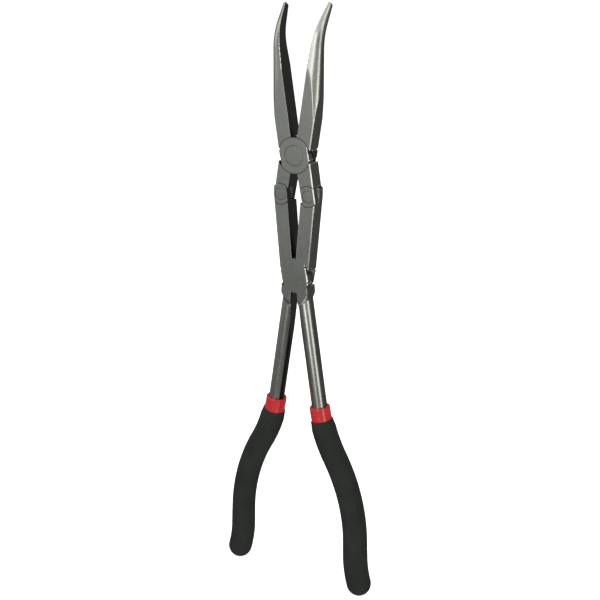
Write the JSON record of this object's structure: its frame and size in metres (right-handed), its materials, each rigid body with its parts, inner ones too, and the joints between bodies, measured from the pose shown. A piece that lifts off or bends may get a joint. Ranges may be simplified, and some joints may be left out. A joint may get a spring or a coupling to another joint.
{
  "type": "long reach bent nose pliers",
  "caption": "Double-jointed long-reach pliers with slim half-round bent noses, a crossing four-bar linkage, round rod handles, red collars and black grips.",
  "frame": {"origin": "bottom centre of the whole tool's box, under the grips' lower ends", "axes": "+Z from the grips to the nose tips, +X to the right jaw, +Y to the back, the way the tips are bent; drawn partly open, each jaw 9 degrees from closed"},
  "size_m": [0.0988, 0.0183, 0.3391],
  "materials": {
    "forged_steel": "drop-forged and ground, oiled dark grey, satin",
    "rivet_steel": "ground flush with the laps",
    "red_vinyl": "dipped vinyl, glossy",
    "black_grip": "dipped vinyl, very matt and finely grained"
  },
  "bodies": {
    "right_handle": {"handle_right": "forged_steel", "handle_rivet": "rivet_steel", "elbow_rivet_left": "rivet_steel", "sleeve_right": "red_vinyl", "grip_right": "black_grip"},
    "left_handle": {"handle_left": "forged_steel", "elbow_rivet_right": "rivet_steel", "sleeve_left": "red_vinyl", "grip_left": "black_grip"},
    "left_jaw": {"jaw_left": "forged_steel", "jaw_rivet": "rivet_steel"},
    "right_jaw": {"jaw_right": "forged_steel"}
  },
  "joints": [
    {"name": "handle_pivot", "type": "hinge", "parent": "right_handle", "child": "left_handle", "pos_m": [0, -0.00176, 0.19369], "axis": [0, 1, 0], "range_deg": [-8.7, 9.5]},
    {"name": "elbow_pivot_right", "type": "hinge", "parent": "left_handle", "child": "left_jaw", "pos_m": [0.00856, -0.00176, 0.23909], "axis": [0, 1, 0], "range_deg": [-14.9, 13.7]},
    {"name": "jaw_pivot", "type": "hinge", "parent": "left_jaw", "child": "right_jaw", "pos_m": [0, -0.00176, 0.2607], "axis": [0, 1, 0], "range_deg": [-18.5, 20.2]}
  ],
  "couplings": [
    {"joint": "elbow_pivot_right", "follows": "handle_pivot", "ratio": -1.5563},
    {"joint": "jaw_pivot", "follows": "handle_pivot", "ratio": 2.1125}
  ]
}
